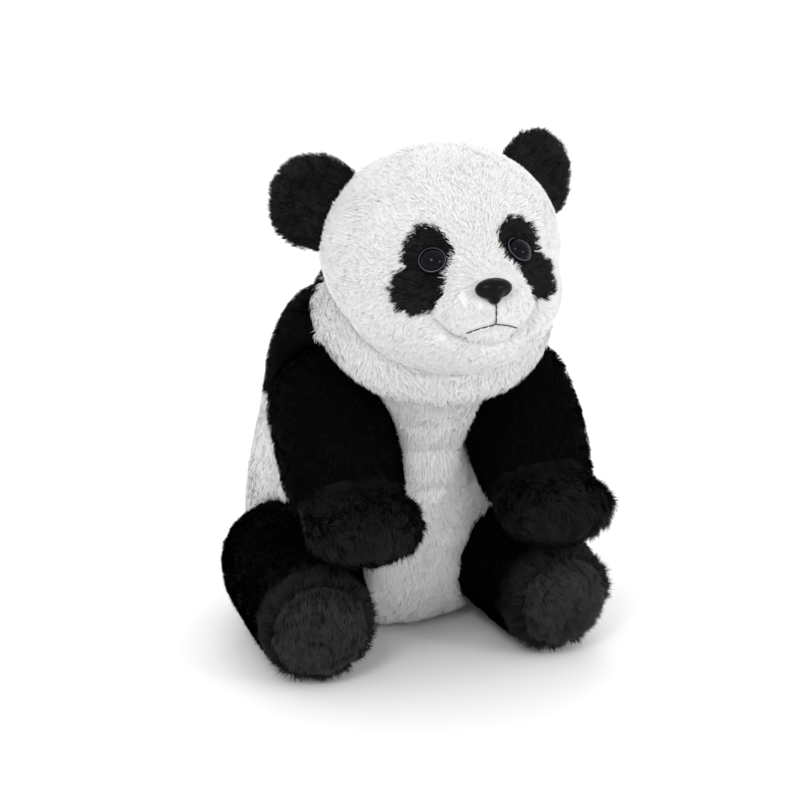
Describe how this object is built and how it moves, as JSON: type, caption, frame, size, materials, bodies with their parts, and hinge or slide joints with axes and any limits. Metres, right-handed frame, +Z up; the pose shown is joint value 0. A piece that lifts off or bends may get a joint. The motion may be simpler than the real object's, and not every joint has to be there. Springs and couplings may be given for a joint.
{
  "type": "plush panda",
  "caption": "Sitting plush panda with a turning head, bending ears, arms that lift and legs that splay.",
  "frame": {"origin": "middle of the flat seat on the floor", "axes": "+Z up, the panda faces -Y, its left side is +X"},
  "size_m": [0.2329, 0.2817, 0.3268],
  "materials": {
    "white_plush": "short dense pile, warm white",
    "black_plush": "short dense pile, black",
    "patch_plush": "short pile, black",
    "shaggy_plush": "longer pile, charcoal black",
    "filling": "loose polyester fibre",
    "pouch_cloth": "woven cloth bag of pellets",
    "eye_plastic": "polished black",
    "nose_plastic": "polished black",
    "washer": "moulded natural white",
    "thread": "black stitching thread"
  },
  "bodies": {
    "torso": {"belly_panel": "white_plush", "back_panel": "white_plush", "shoulder_yoke": "black_plush", "seat_panel": "white_plush", "torso_stuffing": "filling", "pellet_pouch": "pouch_cloth"},
    "neck": {"neck_band": "white_plush"},
    "head": {"head_gusset": "white_plush", "head_side_left": "white_plush", "head_side_right": "white_plush", "muzzle_panel": "white_plush", "chin_panel": "white_plush", "eye_patch_left": "patch_plush", "eye_patch_right": "patch_plush", "eye_left": "eye_plastic", "eye_right": "eye_plastic", "eye_washer_left": "washer", "eye_washer_right": "washer", "nose": "nose_plastic", "nose_washer": "washer", "mouth_stitch": "thread", "head_stuffing": "filling"},
    "ear_left": {"ear_front_left": "shaggy_plush", "ear_back_left": "shaggy_plush"},
    "arm_left": {"arm_sleeve_left": "black_plush", "paw_back_left": "shaggy_plush", "paw_palm_left": "shaggy_plush", "arm_stuffing_left": "filling"},
    "leg_left": {"leg_sleeve_left": "black_plush", "foot_left": "shaggy_plush", "foot_sole_left": "shaggy_plush", "leg_stuffing_left": "filling"},
    "ear_right": {"ear_front_right": "shaggy_plush", "ear_back_right": "shaggy_plush"},
    "arm_right": {"arm_sleeve_right": "black_plush", "paw_back_right": "shaggy_plush", "paw_palm_right": "shaggy_plush", "arm_stuffing_right": "filling"},
    "leg_right": {"leg_sleeve_right": "black_plush", "foot_right": "shaggy_plush", "foot_sole_right": "shaggy_plush", "leg_stuffing_right": "filling"}
  },
  "joints": [
    {"name": "head_turn", "type": "hinge", "parent": "torso", "child": "neck", "pos_m": [0.005, -0.085, 0.222], "axis": [0, -0.4695, 0.8829], "range_deg": [-20, 20], "stiffness_Nm_per_rad": 0.4},
    {"name": "head_nod", "type": "hinge", "parent": "neck", "child": "head", "pos_m": [0.005, -0.085, 0.222], "axis": [1, 0, 0], "range_deg": [-7, 7], "stiffness_Nm_per_rad": 1.2},
    {"name": "ear_flex_left", "type": "hinge", "parent": "head", "child": "ear_left", "pos_m": [0.05551, -0.08266, 0.28569], "axis": [0.4486, 0.0644, -0.8914], "range_deg": [-12, 12], "stiffness_Nm_per_rad": 0.08},
    {"name": "ear_flex_right", "type": "hinge", "parent": "head", "child": "ear_right", "pos_m": [-0.04983, -0.08266, 0.28201], "axis": [0.3853, -0.0644, 0.9205], "range_deg": [-12, 12], "stiffness_Nm_per_rad": 0.08},
    {"name": "arm_raise_left", "type": "hinge", "parent": "torso", "child": "arm_left", "pos_m": [0.0647, -0.0686, 0.1594], "axis": [-0.7071, -0.7071, 0], "range_deg": [0, 45]},
    {"name": "arm_raise_right", "type": "hinge", "parent": "torso", "child": "arm_right", "pos_m": [-0.06, -0.0665, 0.1617], "axis": [-0.7071, 0.7071, 0], "range_deg": [0, 45]},
    {"name": "leg_splay_left", "type": "hinge", "parent": "torso", "child": "leg_left", "pos_m": [0.0687, -0.038, 0.044], "axis": [0, 0, 1], "range_deg": [0, 20]},
    {"name": "leg_splay_right", "type": "hinge", "parent": "torso", "child": "leg_right", "pos_m": [-0.0739, -0.0373, 0.043], "axis": [0, 0, -1], "range_deg": [0, 20]}
  ]
}
